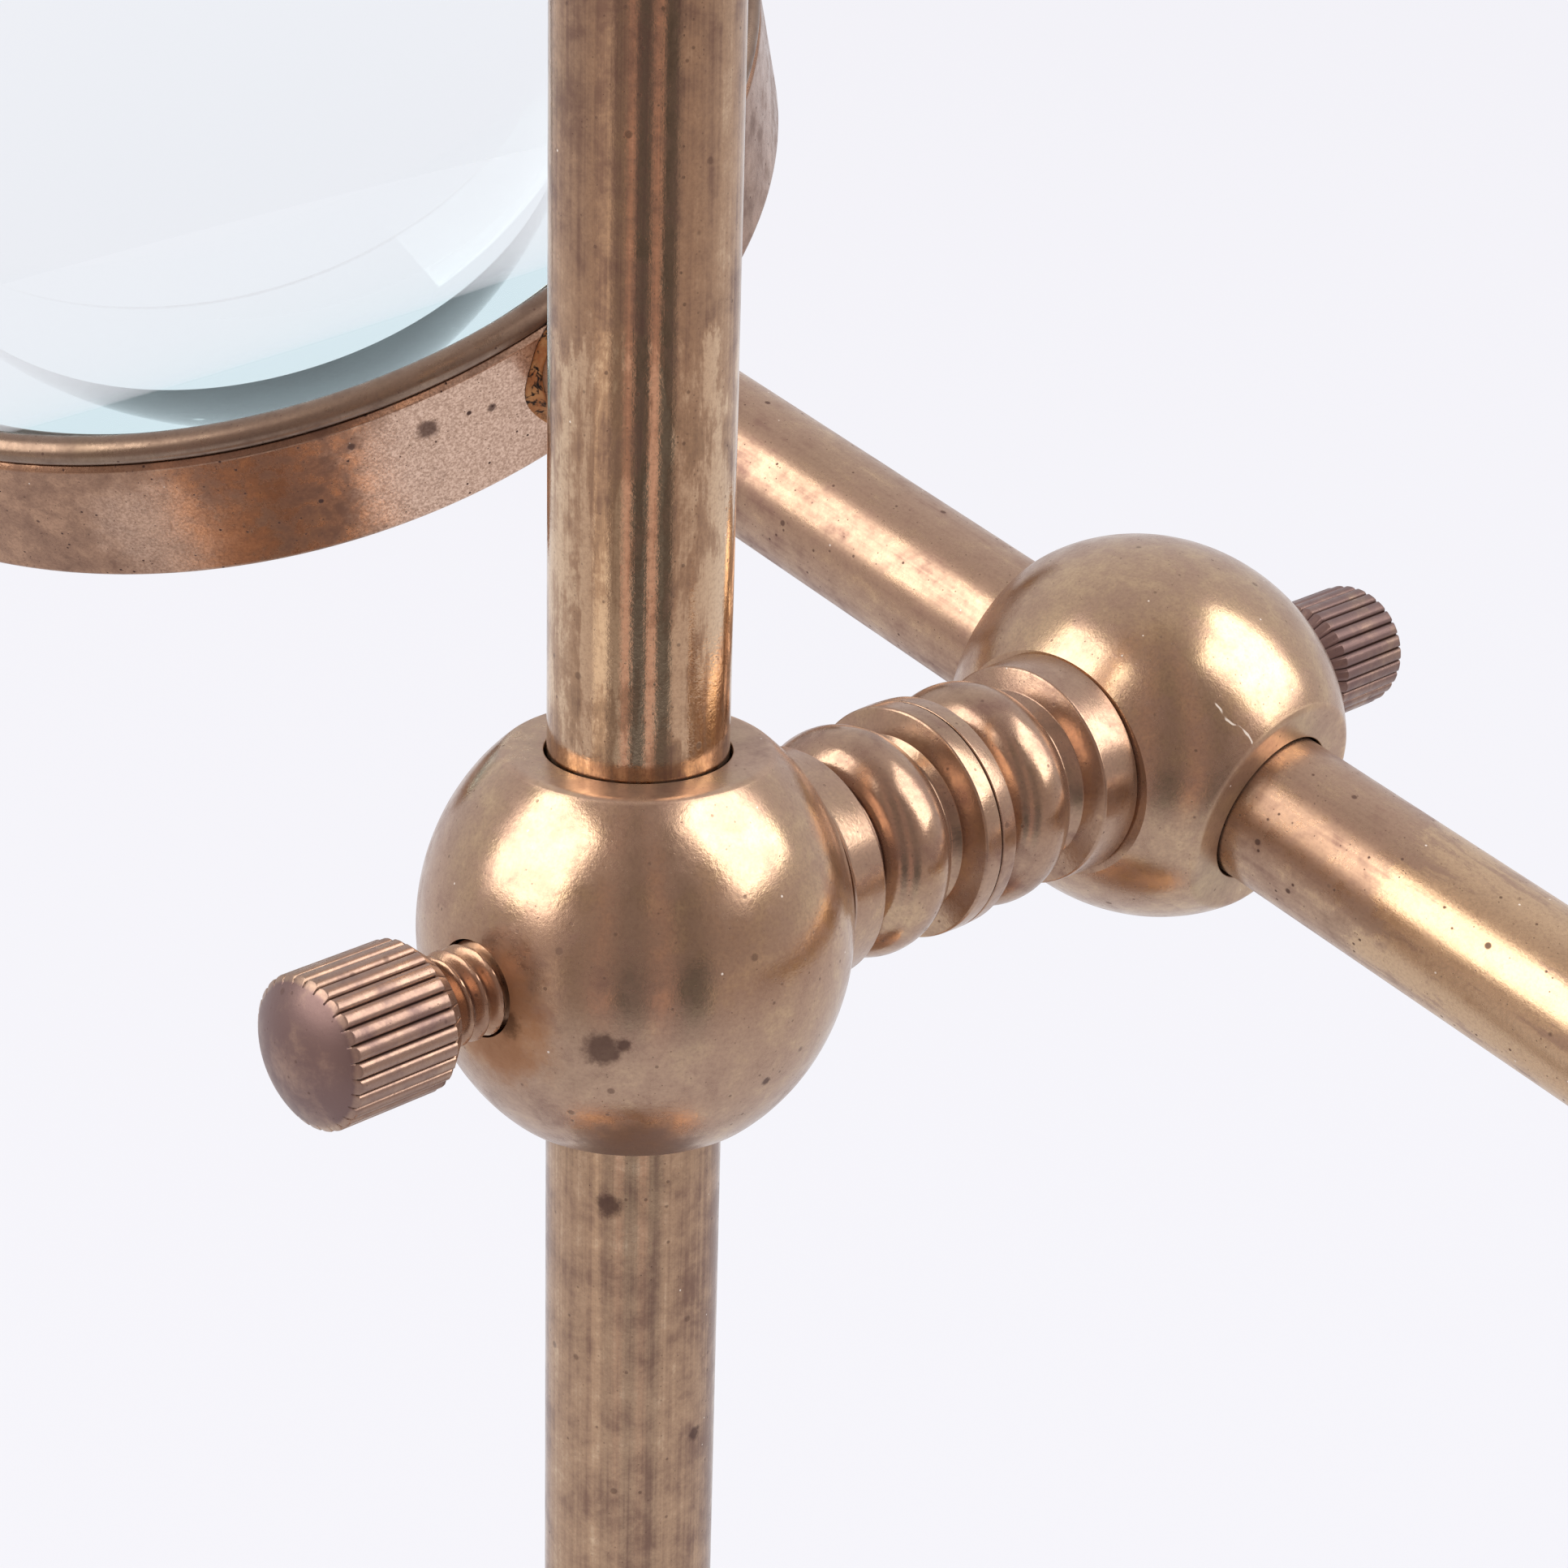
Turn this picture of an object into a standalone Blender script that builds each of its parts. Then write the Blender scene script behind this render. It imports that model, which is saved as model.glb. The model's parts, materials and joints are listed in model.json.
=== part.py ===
"""Brass stand magnifier: a framed lens on a sliding arm, held on a post by two ball clamps.

Frame: +Z is up, the origin is the centre of the felt under the base, and +Y runs from the ball on the
post to the ball on the arm. The arm lies in a plane parallel to XZ, with its lens towards -X.
"""

import math

import bmesh
import bpy
from mathutils import Matrix, Vector

MM = 0.001
GAP = 0.3  # between pieces that touch

# Driving dimensions, in millimetres and degrees
ROD_RADIUS = 5.0  # the post and the arm are the same stock
BALL_HEIGHT = 200.0  # centre of the post's ball above the table
BALL_SPACING = 46.2  # from the post's ball to the arm's ball
BALL_RADIUS = 12.2  # across the bore
BALL_LENGTH = 13.3  # semi-axis along the bore, before the flats are cut
BALL_FLAT = 10.6  # from the centre to the flat round each bore mouth
ARM_DIP = 14.83  # the arm's free end hangs this far below level
LENS_DISTANCE = 98.5  # from the arm's ball to the middle of the lens
LENS_ROLL = 27.2  # the lens frame is turned this far about the arm
FRAME_RADIUS = 43.7  # outside of the band round the lens
FRAME_WIDTH = 13.0
LENS_SAG = 4.2  # rise of each polished face
LENS_EDGE = 4.8
BASE_RADIUS = 63.0
BASE_TOP = 34.0  # top of the boss that holds the post
WEIGHT_TOP = 9.6
POST_TOP = 300.0
POST_BALL = 7.5  # radius of the ball on the post's finial
ARM_END = 115.0  # from the arm's ball to the free end of the rod
ARM_BALL = 6.8
PEG_RADIUS = 2.2  # turned end of each rod, inside its finial
PEG_LENGTH = 7.5
TAIL_RADIUS = 3.5  # the post's lower end, through the base, its washer and its nut
TAIL_END = 3.4
THREAD_RADIUS = 2.4  # thumbscrew stud, at the middle of its thread
KNOB_RADIUS = 4.25
KNOB_START = 15.7  # from the ball's centre to the knob's inner face
KNOB_LENGTH = 7.4
FLUTES = 28
PAD_RADIUS = 2.3  # the pad that the thumbscrew presses on the sleeve
PAD_TOP = 8.0
COLLAR_RADIUS = 7.15  # the connector, against the ball
COVE_RADIUS = 5.05  # on each side of the connector's bead
BEAD_CENTRE = 17.6  # from the ball's centre

SLEEVE_INNER = ROD_RADIUS + GAP
SLEEVE_OUTER = SLEEVE_INNER + 0.75
SLEEVE_BORE = SLEEVE_OUTER + GAP
LIP = 8.0  # the sleeve's seat below the upper bore mouth
SLEEVE_FOOT = 8.7  # where the retaining ring's recess starts
NECK_SEAT = 9.9  # spot face on the ball for the neck
NECK_SPLIT = BALL_SPACING / 2 - GAP / 2
SPIGOT_RADIUS = 5.2
SPIGOT_END = 7.3
SWIVEL_RADIUS = 2.3
SWIVEL_HEAD = 3.6
SWIVEL_HEAD_HEIGHT = 2.0
SWIVEL_TIP = 14.8  # both of these from the centre of the post's ball
SWIVEL_TOP = BALL_SPACING - 8.0
SWIVEL_SHELF = 12.0  # where the washer sits, from the centre of the arm's ball

BRASS = (0.34, 0.235, 0.125)
DARK_BRASS = (0.22, 0.145, 0.085)
STEEL = (0.33, 0.32, 0.31)

parts = None
cutters = None
materials = {}


def clear_scene():
    for obj in list(bpy.data.objects):
        bpy.data.objects.remove(obj, do_unlink=True)


def new_collection(name):
    collection = bpy.data.collections.new(name)
    bpy.context.scene.collection.children.link(collection)
    return collection


def finish_material(name, colour, roughness, metallic, transmission=0.0):
    """A material for one finish, made the first time that it is asked for."""
    if name not in materials:
        made = bpy.data.materials.new(name)
        made.use_nodes = True
        shader = made.node_tree.nodes["Principled BSDF"]
        shader.inputs["Base Color"].default_value = (*colour, 1.0)
        shader.inputs["Roughness"].default_value = roughness
        shader.inputs["Metallic"].default_value = metallic
        shader.inputs["Transmission Weight"].default_value = transmission
        materials[name] = made
    return materials[name]


def brass():
    return finish_material("satin_brass", BRASS, 0.34, 1.0)


def dark_brass():
    return finish_material("tarnished_brass", DARK_BRASS, 0.45, 1.0)


def steel():
    return finish_material("plain_steel", STEEL, 0.4, 1.0)


def iron():
    return finish_material("cast_iron", (0.06, 0.06, 0.062), 0.75, 0.8)


def felt():
    return finish_material("green_felt", (0.035, 0.08, 0.045), 0.95, 0.0)


def glass():
    return finish_material("lens_glass", (0.96, 0.98, 1.0), 0.02, 0.0, 1.0)


def frame_empty(name, matrix, parent=None):
    """An empty whose Z axis is the axis of the pieces that it carries."""
    empty = bpy.data.objects.new(name, None)
    empty.empty_display_size = 0.01
    parts.objects.link(empty)
    empty.parent = parent
    empty.matrix_basis = matrix
    return empty


def add_object(name, mesh, finish, frame, place=None):
    obj = bpy.data.objects.new(name, mesh)
    if finish is None:
        cutters.objects.link(obj)
        obj.hide_render = True
        obj.display_type = "WIRE"
    else:
        parts.objects.link(obj)
        mesh.materials.append(finish)
    obj.parent = frame
    obj.matrix_basis = place or Matrix.Identity(4)
    return obj


def turned(name, outline, steps, finish, frame, place=None, closed=True):
    """A turned piece: outline is (radius, height) in mm, down the outer side and back up the bore."""
    mesh = bpy.data.meshes.new(name)
    count = len(outline)
    edges = [(i, i + 1) for i in range(count - 1)]
    if closed:
        edges.append((count - 1, 0))
    mesh.from_pydata([(r * MM, 0.0, z * MM) for r, z in outline], edges, [])
    obj = add_object(name, mesh, finish, frame, place)
    screw = obj.modifiers.new("turn", "SCREW")
    screw.axis = "Z"
    screw.angle = math.tau
    screw.steps = steps
    screw.render_steps = steps
    screw.use_merge_vertices = True
    screw.merge_threshold = 1e-5
    screw.use_smooth_shade = True
    return obj


def cylinder_cutter(name, radius, low, high, steps, frame, place=None):
    """A cutter along the frame's Z axis from low to high, in mm."""
    mesh = bpy.data.meshes.new(name)
    shape = bmesh.new()
    middle = Matrix.Translation((0, 0, (low + high) / 2 * MM))
    bmesh.ops.create_cone(
        shape,
        cap_ends=True,
        segments=steps,
        radius1=radius * MM,
        radius2=radius * MM,
        depth=(high - low) * MM,
        matrix=middle,
    )
    shape.to_mesh(mesh)
    shape.free()
    return add_object(name, mesh, None, frame, place)


def cut(obj, cutter):
    boolean = obj.modifiers.new(cutter.name, "BOOLEAN")
    boolean.operation = "DIFFERENCE"
    boolean.solver = "EXACT"
    boolean.object = cutter


def arc(centre, radii, start, end, count):
    """Points on an ellipse about centre, at angles in degrees from +radius towards +height."""
    points = []
    for i in range(count + 1):
        angle = math.radians(start + (end - start) * i / count)
        points.append((centre[0] + radii[0] * math.cos(angle), centre[1] + radii[1] * math.sin(angle)))
    return points


def finial_outline(seat, radius, stem):
    """A ball on a short turned stem, with a blind hole for the rod's spigot."""
    ball_centre = seat + 4.5 + radius
    ball = arc((0, ball_centre), (radius, radius), 90, -62, 7)
    foot = [
        (stem * 0.62, seat + 4.2),
        (stem * 0.62, seat + 3.4),
        (stem, seat + 2.6),
        (stem, seat),
        (PEG_RADIUS + GAP, seat),
        (PEG_RADIUS + GAP, seat + PEG_LENGTH + 1.0),
        (0, seat + PEG_LENGTH + 1.0),
    ]
    return ball + foot


def make_base(frame):
    rim = arc((BASE_RADIUS - 3.0, 6.5), (3.0, 4.0), 80, -60, 4)
    outline = [
        (ROD_RADIUS + GAP, BASE_TOP),
        (11.0, BASE_TOP),
        (12.0, BASE_TOP - 1.0),
        (12.0, 30.6),
        (10.4, 29.4),
        (10.4, 27.2),
        *arc((30.0, 30.0), (18.4, 12.5), 195, 268, 4),
        (30.0, 17.2),
        (30.0, 15.2),
        *arc((44.0, 22.0), (14.0, 8.0), 235, 275, 3),
        (54.0, 12.6),
        *rim,
        (60.0, 2.0),
        (52.0, 2.0),
        (52.0, WEIGHT_TOP + 0.9),
        (TAIL_RADIUS + GAP, WEIGHT_TOP + 0.9),
        (TAIL_RADIUS + GAP, 14.0),
        (ROD_RADIUS + GAP, 14.0),
    ]
    turned("base", outline, 48, brass(), frame)
    weight = [(51.6, WEIGHT_TOP), (51.6, 2.6), (13.0, 2.6), (13.0, WEIGHT_TOP)]
    turned("base_weight", weight, 36, iron(), frame)
    felt_radius = BASE_RADIUS - 2.5
    felt_disc = [(0, 1.7), (felt_radius, 1.7), (felt_radius, 0), (0, 0)]
    turned("felt_pad", felt_disc, 48, felt(), frame, closed=False)


def make_post(frame):
    outline = [
        (0, POST_TOP + PEG_LENGTH),
        (PEG_RADIUS, POST_TOP + PEG_LENGTH),
        (PEG_RADIUS, POST_TOP),
        (ROD_RADIUS, POST_TOP),
        (ROD_RADIUS, 14.3),
        (TAIL_RADIUS, 14.3),
        (TAIL_RADIUS, TAIL_END),
        (0, TAIL_END),
    ]
    turned("post", outline, 32, brass(), frame, closed=False)
    finial = finial_outline(POST_TOP + GAP, POST_BALL, 6.4)
    turned("post_finial", finial, 24, brass(), frame, closed=False)
    bore = TAIL_RADIUS + GAP
    washer = [(8.0, 10.2), (8.0, 9.2), (bore, 9.2), (bore, 10.2)]
    turned("base_washer", washer, 24, steel(), frame)
    nut = [(6.6, 8.9), (6.6, 4.6), (bore, 4.6), (bore, 8.9)]
    turned("base_nut", nut, 6, steel(), frame)
    # The nut's bore is round although its outside has six sides.
    nut_bore = cylinder_cutter("cut_nut_bore", bore, 4.0, 9.5, 24, frame)
    cut(bpy.data.objects["base_nut"], nut_bore)


def neck_outline():
    """The outside of one half of the connector, from its swivel face down to its spigot in the ball."""
    bead = arc((COVE_RADIUS, BEAD_CENTRE), (2.05, 2.6), 78, -78, 5)
    return [
        (COLLAR_RADIUS + 0.1, NECK_SPLIT),
        (COLLAR_RADIUS + 0.05, 21.7),
        (COVE_RADIUS + 0.65, 21.3),
        (COVE_RADIUS, 20.6),
        *bead,
        (COVE_RADIUS, 14.4),
        (COVE_RADIUS + 0.55, 13.4),
        (COLLAR_RADIUS - 0.1, 13.0),
        (COLLAR_RADIUS, NECK_SEAT + GAP),
        (SPIGOT_RADIUS, NECK_SEAT + GAP),
        (SPIGOT_RADIUS, SPIGOT_END),
    ]


def make_clamp(prefix, frame, mouth, foot):
    """One ball clamp: bore along the frame's Z, neck towards +Y, thumbscrew towards -Y.

    mouth and foot are the neck's inner outline, before and after its outer side.
    """
    to_neck = Matrix.Rotation(math.radians(-90), 4, "X")
    to_screw = Matrix.Rotation(math.radians(90), 4, "X")
    flat_angle = math.degrees(math.asin(BALL_FLAT / BALL_LENGTH))
    ball_outline = [
        *arc((0, 0), (BALL_RADIUS, BALL_LENGTH), flat_angle, -flat_angle, 10),
        (SLEEVE_BORE + 0.35, -BALL_FLAT),
        (SLEEVE_BORE + 0.35, -SLEEVE_FOOT),
        (SLEEVE_BORE, -SLEEVE_FOOT),
        (SLEEVE_BORE, LIP),
        (ROD_RADIUS + 0.25, LIP),
        (ROD_RADIUS + 0.25, BALL_FLAT),
    ]
    ball = turned(prefix + "_ball", ball_outline, 36, brass(), frame)
    far = 2 * BALL_RADIUS
    cut(ball, cylinder_cutter(f"cut_{prefix}_seat", far, NECK_SEAT, far, 12, frame, to_neck))
    socket = SPIGOT_RADIUS + GAP
    cut(ball, cylinder_cutter(f"cut_{prefix}_socket", socket, SPIGOT_END - GAP, far, 24, frame, to_neck))
    screw_hole = THREAD_RADIUS + GAP
    cut(ball, cylinder_cutter(f"cut_{prefix}_tapping", screw_hole, ROD_RADIUS, far, 16, frame, to_screw))

    neck = mouth + neck_outline() + foot
    turned(prefix + "_neck", neck, 32, brass(), frame, to_neck, closed=mouth[0][0] > 0)

    sleeve = [
        (SLEEVE_OUTER, LIP - GAP),
        (SLEEVE_OUTER, -SLEEVE_FOOT + GAP),
        (SLEEVE_INNER, -SLEEVE_FOOT + GAP),
        (SLEEVE_INNER, LIP - GAP),
    ]
    split = bpy.data.meshes.new(f"cut_{prefix}_split")
    shape = bmesh.new()
    bmesh.ops.create_cube(shape, size=1.0, matrix=Matrix.Diagonal((0.01, 0.0012, 0.03, 1.0)))
    bmesh.ops.translate(shape, verts=shape.verts, vec=(0.005, 0, 0))
    shape.to_mesh(split)
    shape.free()
    sleeve_obj = turned(prefix + "_sleeve", sleeve, 32, dark_brass(), frame)
    cut(sleeve_obj, add_object(split.name, split, None, frame))

    ring = [
        (SLEEVE_BORE + 0.05, -SLEEVE_FOOT - 0.1),
        (SLEEVE_BORE + 0.05, -BALL_FLAT),
        (ROD_RADIUS + 0.35, -BALL_FLAT),
        (ROD_RADIUS + 0.35, -SLEEVE_FOOT - 0.1),
    ]
    turned(prefix + "_retaining_ring", ring, 32, brass(), frame)


def make_thumbscrew(prefix, frame):
    """Pressure pad, threaded stud and fluted knob, along the frame's Z from the rod outwards."""
    pad_foot = SLEEVE_OUTER + 0.5
    pad = [(0, PAD_TOP), (PAD_RADIUS, PAD_TOP), (PAD_RADIUS, pad_foot), (0, pad_foot)]
    turned(prefix + "_pad", pad, 16, dark_brass(), frame, closed=False)
    stud_end = KNOB_START + 4.5
    stud_foot = PAD_TOP + GAP
    stud = [(0, stud_end), (THREAD_RADIUS, stud_end), (THREAD_RADIUS, stud_foot), (0, stud_foot)]
    turned(prefix + "_screw", stud, 16, brass(), frame, closed=False)
    rim = KNOB_START + KNOB_LENGTH
    outline = [
        *arc((0, rim - 0.1), (KNOB_RADIUS, 1.6), 90, 18, 3),
        (KNOB_RADIUS, rim - 0.4),
        (KNOB_RADIUS, KNOB_START + 1.1),
        (3.3, KNOB_START),
        (THREAD_RADIUS + GAP, KNOB_START),
        (THREAD_RADIUS + GAP, stud_end + GAP),
        (0, stud_end + GAP),
    ]
    knob = turned(prefix + "_knob", outline, 2 * FLUTES, dark_brass(), frame, closed=False)
    flutes = bpy.data.meshes.new(f"cut_{prefix}_flutes")
    shape = bmesh.new()
    for i in range(FLUTES):
        turn = Matrix.Rotation(math.tau * i / FLUTES, 4, "Z")
        out = Matrix.Translation(((KNOB_RADIUS + 0.28) * MM, 0, (KNOB_START + 4.0) * MM))
        point_in = Matrix.Rotation(math.pi, 4, "Z")
        bmesh.ops.create_cone(
            shape,
            cap_ends=True,
            segments=3,
            radius1=0.62 * MM,
            radius2=0.62 * MM,
            depth=14 * MM,
            matrix=turn @ out @ point_in,
        )
    shape.to_mesh(flutes)
    shape.free()
    cut(knob, add_object(flutes.name, flutes, None, frame))


def make_swivel(frame):
    """The shouldered screw and spring washer that hold the two halves of the connector together."""
    head_foot = SWIVEL_TOP - SWIVEL_HEAD_HEIGHT
    outline = [
        (0, SWIVEL_TOP),
        (SWIVEL_HEAD, SWIVEL_TOP),
        (SWIVEL_HEAD, head_foot),
        (SWIVEL_RADIUS, head_foot),
        (SWIVEL_RADIUS, SWIVEL_TIP),
        (0, SWIVEL_TIP),
    ]
    screw = turned("swivel_screw", outline, 24, steel(), frame, closed=False)
    slot = bpy.data.meshes.new("cut_swivel_slot")
    shape = bmesh.new()
    bmesh.ops.create_cube(shape, size=1.0, matrix=Matrix.Diagonal((0.01, 0.001, 0.0018, 1.0)))
    bmesh.ops.translate(shape, verts=shape.verts, vec=(0, 0, SWIVEL_TOP * MM))
    shape.to_mesh(slot)
    shape.free()
    cut(screw, add_object(slot.name, slot, None, frame))
    top = head_foot - GAP
    washer = [
        (SWIVEL_HEAD, top),
        (SWIVEL_HEAD, top - 0.9),
        (SWIVEL_RADIUS + GAP, top - 1.2),
        (SWIVEL_RADIUS + GAP, top - 0.3),
    ]
    turned("swivel_washer", washer, 24, steel(), frame)


def make_arm(frame, lens_frame):
    """The rod, cut to the curve of the lens frame that it is brazed to, and the finial on its end."""
    start = -(LENS_DISTANCE - FRAME_RADIUS + 3.0)
    outline = [
        (0, ARM_END + PEG_LENGTH),
        (PEG_RADIUS, ARM_END + PEG_LENGTH),
        (PEG_RADIUS, ARM_END),
        (ROD_RADIUS, ARM_END),
        (ROD_RADIUS, start),
        (0, start),
    ]
    rod = turned("arm_rod", outline, 32, brass(), frame, closed=False)
    seat = FRAME_RADIUS + GAP
    cut(rod, cylinder_cutter("cut_arm_seat", seat, -20, 20, 192, lens_frame))
    finial = finial_outline(ARM_END + GAP, ARM_BALL, 6.2)
    turned("arm_finial", finial, 24, brass(), frame, closed=False)


def make_lens(frame):
    """The band, the lens on its inner shoulder and the threaded bezel, about the frame's Z."""
    half = FRAME_WIDTH / 2
    front = half - 1.6
    wall = FRAME_RADIUS - 1.1
    shoulder = LENS_EDGE / 2 + GAP
    band = [
        (FRAME_RADIUS - 0.3, front),
        (FRAME_RADIUS, front - 0.3),
        (FRAME_RADIUS, -half + 0.5),
        (FRAME_RADIUS - 0.5, -half),
        (FRAME_RADIUS - 2.5, -half),
        (FRAME_RADIUS - 2.5, -shoulder),
        (wall, -shoulder),
        (wall, front),
    ]
    turned("lens_ring", band, 48, dark_brass(), frame)
    bezel = [
        *arc((FRAME_RADIUS - 1.0, front + GAP + 0.1), (1.1, 1.5), 100, 0, 3),
        (FRAME_RADIUS + 0.1, front + GAP),
        (wall - GAP, front + GAP),
        (wall - GAP, shoulder),
        (FRAME_RADIUS - 2.3, shoulder),
        (FRAME_RADIUS - 2.3, front + GAP + 1.1),
    ]
    turned("lens_bezel", bezel, 48, dark_brass(), frame)
    edge = wall - GAP
    curve = (edge * edge + LENS_SAG * LENS_SAG) / (2 * LENS_SAG)
    rise = math.degrees(math.asin(edge / curve))
    top = LENS_EDGE / 2 + LENS_SAG
    outline = [
        *arc((0, top - curve), (curve, curve), 90, 90 - rise, 4),
        *arc((0, curve - top), (curve, curve), -90 + rise, -90, 4),
    ]
    turned("lens", outline, 48, glass(), frame, closed=False)


def main():
    global parts, cutters
    clear_scene()
    parts = new_collection("stand_magnifier")
    cutters = new_collection("cutters")

    stand = frame_empty("stand_frame", Matrix.Identity(4))
    make_base(stand)
    make_post(stand)

    post_clamp = frame_empty("post_clamp_frame", Matrix.Translation(Vector((0, 0, BALL_HEIGHT)) * MM))
    bore = SWIVEL_RADIUS + GAP
    hole_end = SWIVEL_TIP - 2 * GAP
    blind = [(0, hole_end), (bore, hole_end), (bore, NECK_SPLIT)]
    make_clamp("post", post_clamp, blind, [(0, SPIGOT_END)])
    outward = Matrix.Rotation(math.radians(90), 4, "X")
    make_thumbscrew("post", frame_empty("post_thumbscrew_frame", outward, post_clamp))
    inward = Matrix.Rotation(math.radians(-90), 4, "X")
    make_swivel(frame_empty("swivel_frame", inward, post_clamp))

    centre = Matrix.Translation(Vector((0, BALL_SPACING, BALL_HEIGHT)) * MM)
    along = Matrix.Rotation(math.radians(90 + ARM_DIP), 4, "Y") @ Matrix.Rotation(math.pi, 4, "Z")
    arm_clamp = frame_empty("arm_clamp_frame", centre @ along)
    head_bore = SWIVEL_HEAD + GAP
    counterbore = [(head_bore, SPIGOT_END), (head_bore, SWIVEL_SHELF)]
    make_clamp("arm", arm_clamp, [(bore, SWIVEL_SHELF), (bore, NECK_SPLIT)], counterbore)
    make_thumbscrew("arm", frame_empty("arm_thumbscrew_frame", outward, arm_clamp))

    slide = Matrix.Translation(Vector((0, 0, -LENS_DISTANCE)) * MM)
    roll = Matrix.Rotation(math.radians(LENS_ROLL), 4, "Z") @ Matrix.Rotation(math.radians(90), 4, "Y")
    lens_frame = frame_empty("lens_frame", slide @ roll, arm_clamp)
    make_arm(arm_clamp, lens_frame)
    make_lens(lens_frame)


main()
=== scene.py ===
"""Looks of the brass stand magnifier: fine turned pieces, aged brass, glass, studio and camera.

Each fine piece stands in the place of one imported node. Its outline is in millimetres, in the frame of
the clamp, stand or lens that it belongs to, with Z along the piece's own axis.
"""
import json
import math

import bmesh
import bpy
import numpy as np
from mathutils import Matrix, Vector


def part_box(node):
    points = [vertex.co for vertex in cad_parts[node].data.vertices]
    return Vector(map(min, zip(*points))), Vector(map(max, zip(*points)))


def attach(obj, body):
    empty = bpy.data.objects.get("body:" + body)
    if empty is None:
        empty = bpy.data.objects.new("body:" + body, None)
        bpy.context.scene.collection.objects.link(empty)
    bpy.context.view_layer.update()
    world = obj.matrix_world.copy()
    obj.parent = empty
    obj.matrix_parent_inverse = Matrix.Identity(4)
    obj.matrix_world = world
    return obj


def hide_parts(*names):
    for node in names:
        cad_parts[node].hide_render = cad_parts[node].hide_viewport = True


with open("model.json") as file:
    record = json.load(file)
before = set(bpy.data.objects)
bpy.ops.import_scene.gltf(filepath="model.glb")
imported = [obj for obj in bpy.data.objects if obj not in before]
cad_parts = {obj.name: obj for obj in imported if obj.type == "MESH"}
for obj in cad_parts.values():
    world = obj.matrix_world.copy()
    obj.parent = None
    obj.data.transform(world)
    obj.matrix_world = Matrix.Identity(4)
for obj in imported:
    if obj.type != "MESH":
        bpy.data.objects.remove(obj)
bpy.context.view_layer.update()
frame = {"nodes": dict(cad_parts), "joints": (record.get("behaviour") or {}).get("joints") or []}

MM = 0.001
JOINTS = {joint["name"]: joint for joint in frame["joints"]}
POST_BALL = Vector(JOINTS["post_turn"]["pos_m"])
ARM_BALL = Vector(JOINTS["arm_turn"]["pos_m"])
ARM_AXIS = Vector(JOINTS["arm_turn"]["axis"]).normalized()
UP = Vector((0, 0, 1))
TO_ARM = (ARM_BALL - POST_BALL).normalized()

# Sizes shared by several pieces, in millimetres
ROD_RADIUS = 5.0
SPACING = (ARM_BALL - POST_BALL).length / MM
BALL_RADII = (12.2, 13.3)  # across the bore, and along it before the flats are cut
BALL_FLAT = 10.6
SEAT = 9.9  # spot face for the connector
SPIGOT = 7.3
SPLIT = SPACING / 2 - 0.06
THREAD = (1.93, 2.62)  # root and crest radius
PITCH = 1.06
KNOB_RADIUS = 4.25
KNOB_START = 15.7
KNOB_RIM = 23.1
FLUTES = 28
FLUTE_DEPTH = 0.34
BAND_RADIUS = 43.7
BAND_HALF = 6.5
BORE_RADIUS = 5.16
SPIGOT_RADIUS = 5.2
CONNECTOR_BORE = 2.6
HEAD_BORE = 3.9  # for the head of the swivel's screw
PEG_RADIUS = 2.2  # turned on a rod's end, to hold its finial
PEG_LENGTH = 7.5
FINIAL_GAP = 0.1

# How fine the meshes are
FINE = 224  # steps round a turned piece
ROUND_LENS = 320  # round the lens and its frame
ROUND_ROD = 160  # round the post and the arm
SHARP = math.radians(32)  # edges sharper than this aren't smoothed


# ---------------------------------------------------------------- places

def placement(origin, z_axis, y_axis):
    """A frame at origin with its Z along z_axis and its Y as near to y_axis as it can be."""
    z = z_axis.normalized()
    y = (y_axis - y_axis.dot(z) * z).normalized()
    matrix = Matrix((y.cross(z), y, z)).transposed().to_4x4()
    matrix.translation = origin
    return matrix


def corners_of(node):
    return [Vector(v.co) for v in frame["nodes"][node].data.vertices]


def disc_axis(node, towards):
    """Centre and axis of a round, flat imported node, from the spread of its corners."""
    corners = np.array(corners_of(node))
    corners = np.unique(np.round(corners, 6), axis=0)
    centre = corners.mean(axis=0)
    axis = Vector(np.linalg.eigh(np.cov((corners - centre).T))[1][:, 0])
    return Vector(centre), axis if axis.dot(towards) > 0 else -axis


LENS_CENTRE, LENS_AXIS = disc_axis("lens", UP)
STAND = Matrix.Identity(4)
PLACES = {
    "post_clamp": placement(POST_BALL, UP, TO_ARM),
    "post_neck": placement(POST_BALL, TO_ARM, UP),
    "post_screw": placement(POST_BALL, -TO_ARM, UP),
    "arm_clamp": placement(ARM_BALL, ARM_AXIS, -TO_ARM),
    "arm_neck": placement(ARM_BALL, -TO_ARM, UP),
    "arm_screw": placement(ARM_BALL, TO_ARM, UP),
    "lens": placement(LENS_CENTRE, LENS_AXIS, -ARM_AXIS),
}


# ---------------------------------------------------------------- outlines and meshes

def arc(centre, radii, start, end, count):
    """Points on an ellipse about centre, at angles in degrees from +radius towards +height."""
    points = []
    for i in range(count + 1):
        angle = math.radians(start + (end - start) * i / count)
        points.append((centre[0] + radii[0] * math.cos(angle), centre[1] + radii[1] * math.sin(angle)))
    return points


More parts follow.
